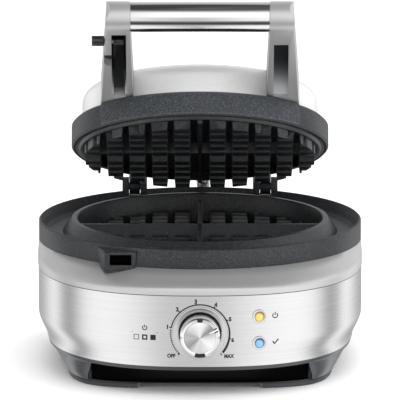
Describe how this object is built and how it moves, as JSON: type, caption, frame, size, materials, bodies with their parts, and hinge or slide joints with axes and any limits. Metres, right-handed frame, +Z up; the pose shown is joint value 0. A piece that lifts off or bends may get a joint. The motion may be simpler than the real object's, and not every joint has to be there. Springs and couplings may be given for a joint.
{
  "type": "waffle maker",
  "caption": "Round waffle maker: silver housing with control dial and lamps, dark overflow moat, toothed cooking plates, hinged lid with tube handle and hook latch.",
  "frame": {"origin": "on the table, below the middle of the overall box, with the lid standing open as at rest", "axes": "+X to the right seen from the front, +Y to the hinge at the back, +Z up; the dial faces -Y"},
  "size_m": [0.2562, 0.3176, 0.3055],
  "materials": {
    "tray_black": "moulded black",
    "foot_rubber": "soft matt",
    "panel_steel": "finely brushed along X",
    "satin_silver": "satin silver",
    "rear_dark": "fine texture",
    "cast_dark": "fine speckled dark coat on a light casting",
    "plate_coating": "dark non-stick coat on a light casting",
    "heater_tube": "dull",
    "shield_metal": "bright rolled",
    "switch_metal": "plain",
    "board": "printed board",
    "control_body": "moulded",
    "bezel_silver": "satin silver",
    "amber_lens": "translucent",
    "blue_lens": "translucent",
    "lamp_ring": "polished",
    "terminal": "ceramic",
    "screw_steel": "plain",
    "sleeve_braid": "silver braid",
    "gland_dark": "moulded",
    "dial_polished": "polished",
    "dial_face": "spun",
    "cover_steel": "brushed",
    "bracket_dark": "fine texture",
    "screw_dark": "blackened",
    "arm_silver": "satin silver",
    "tube_polished": "polished",
    "hook_dark": "dark",
    "knob_black": "moulded black"
  },
  "bodies": {
    "base": {"base_tray": "tray_black", "feet": "foot_rubber", "front_panel": "panel_steel", "shoulder_trim": "satin_silver", "rear_cover": "rear_dark", "moat_ring": "cast_dark", "lower_plate": "plate_coating", "lower_heater": "heater_tube", "lower_heat_shield": "shield_metal", "plate_thermostat": "switch_metal", "control_board": "board", "dial_control": "control_body", "dial_bezel": "bezel_silver", "power_lamp": "amber_lens", "ready_lamp": "blue_lens", "lamp_bezels": "lamp_ring", "terminal_block": "terminal", "base_screws": "screw_steel", "hinge_pins": "screw_steel", "cable_sleeve": "sleeve_braid", "sleeve_socket": "gland_dark", "cord_gland": "gland_dark"},
    "dial": {"dial_knob": "dial_polished", "dial_cap": "dial_face", "dial_shaft": "screw_steel"},
    "lid": {"lid_cover": "cover_steel", "lid_rim": "cast_dark", "upper_plate": "plate_coating", "upper_heater": "heater_tube", "upper_heat_shield": "shield_metal", "thermal_fuse": "switch_metal", "sleeve_gland": "gland_dark", "handle_bracket": "bracket_dark", "bracket_screws": "screw_dark", "handle_arm_left": "arm_silver", "handle_arm_right": "arm_silver", "handle_tube": "tube_polished", "handle_rod": "screw_steel"},
    "latch": {"latch_hook": "hook_dark", "latch_pin": "screw_steel", "latch_knob": "knob_black"}
  },
  "joints": [
    {"name": "lid_hinge", "type": "hinge", "parent": "base", "child": "lid", "pos_m": [0, 0.1275, 0.113], "axis": [-1, 0, 0], "range_deg": [-25.7, 72.3], "deforming": ["cable_sleeve"]},
    {"name": "dial_turn", "type": "hinge", "parent": "base", "child": "dial", "pos_m": [0, -0.1412, 0.049], "axis": [0, 1, 0], "range_deg": [-199, 71.5]},
    {"name": "latch_swing", "type": "hinge", "parent": "lid", "child": "latch", "pos_m": [-0.064, -0.09383, 0.27149], "axis": [-1, 0, 0], "range_deg": [0, 48.8]}
  ]
}
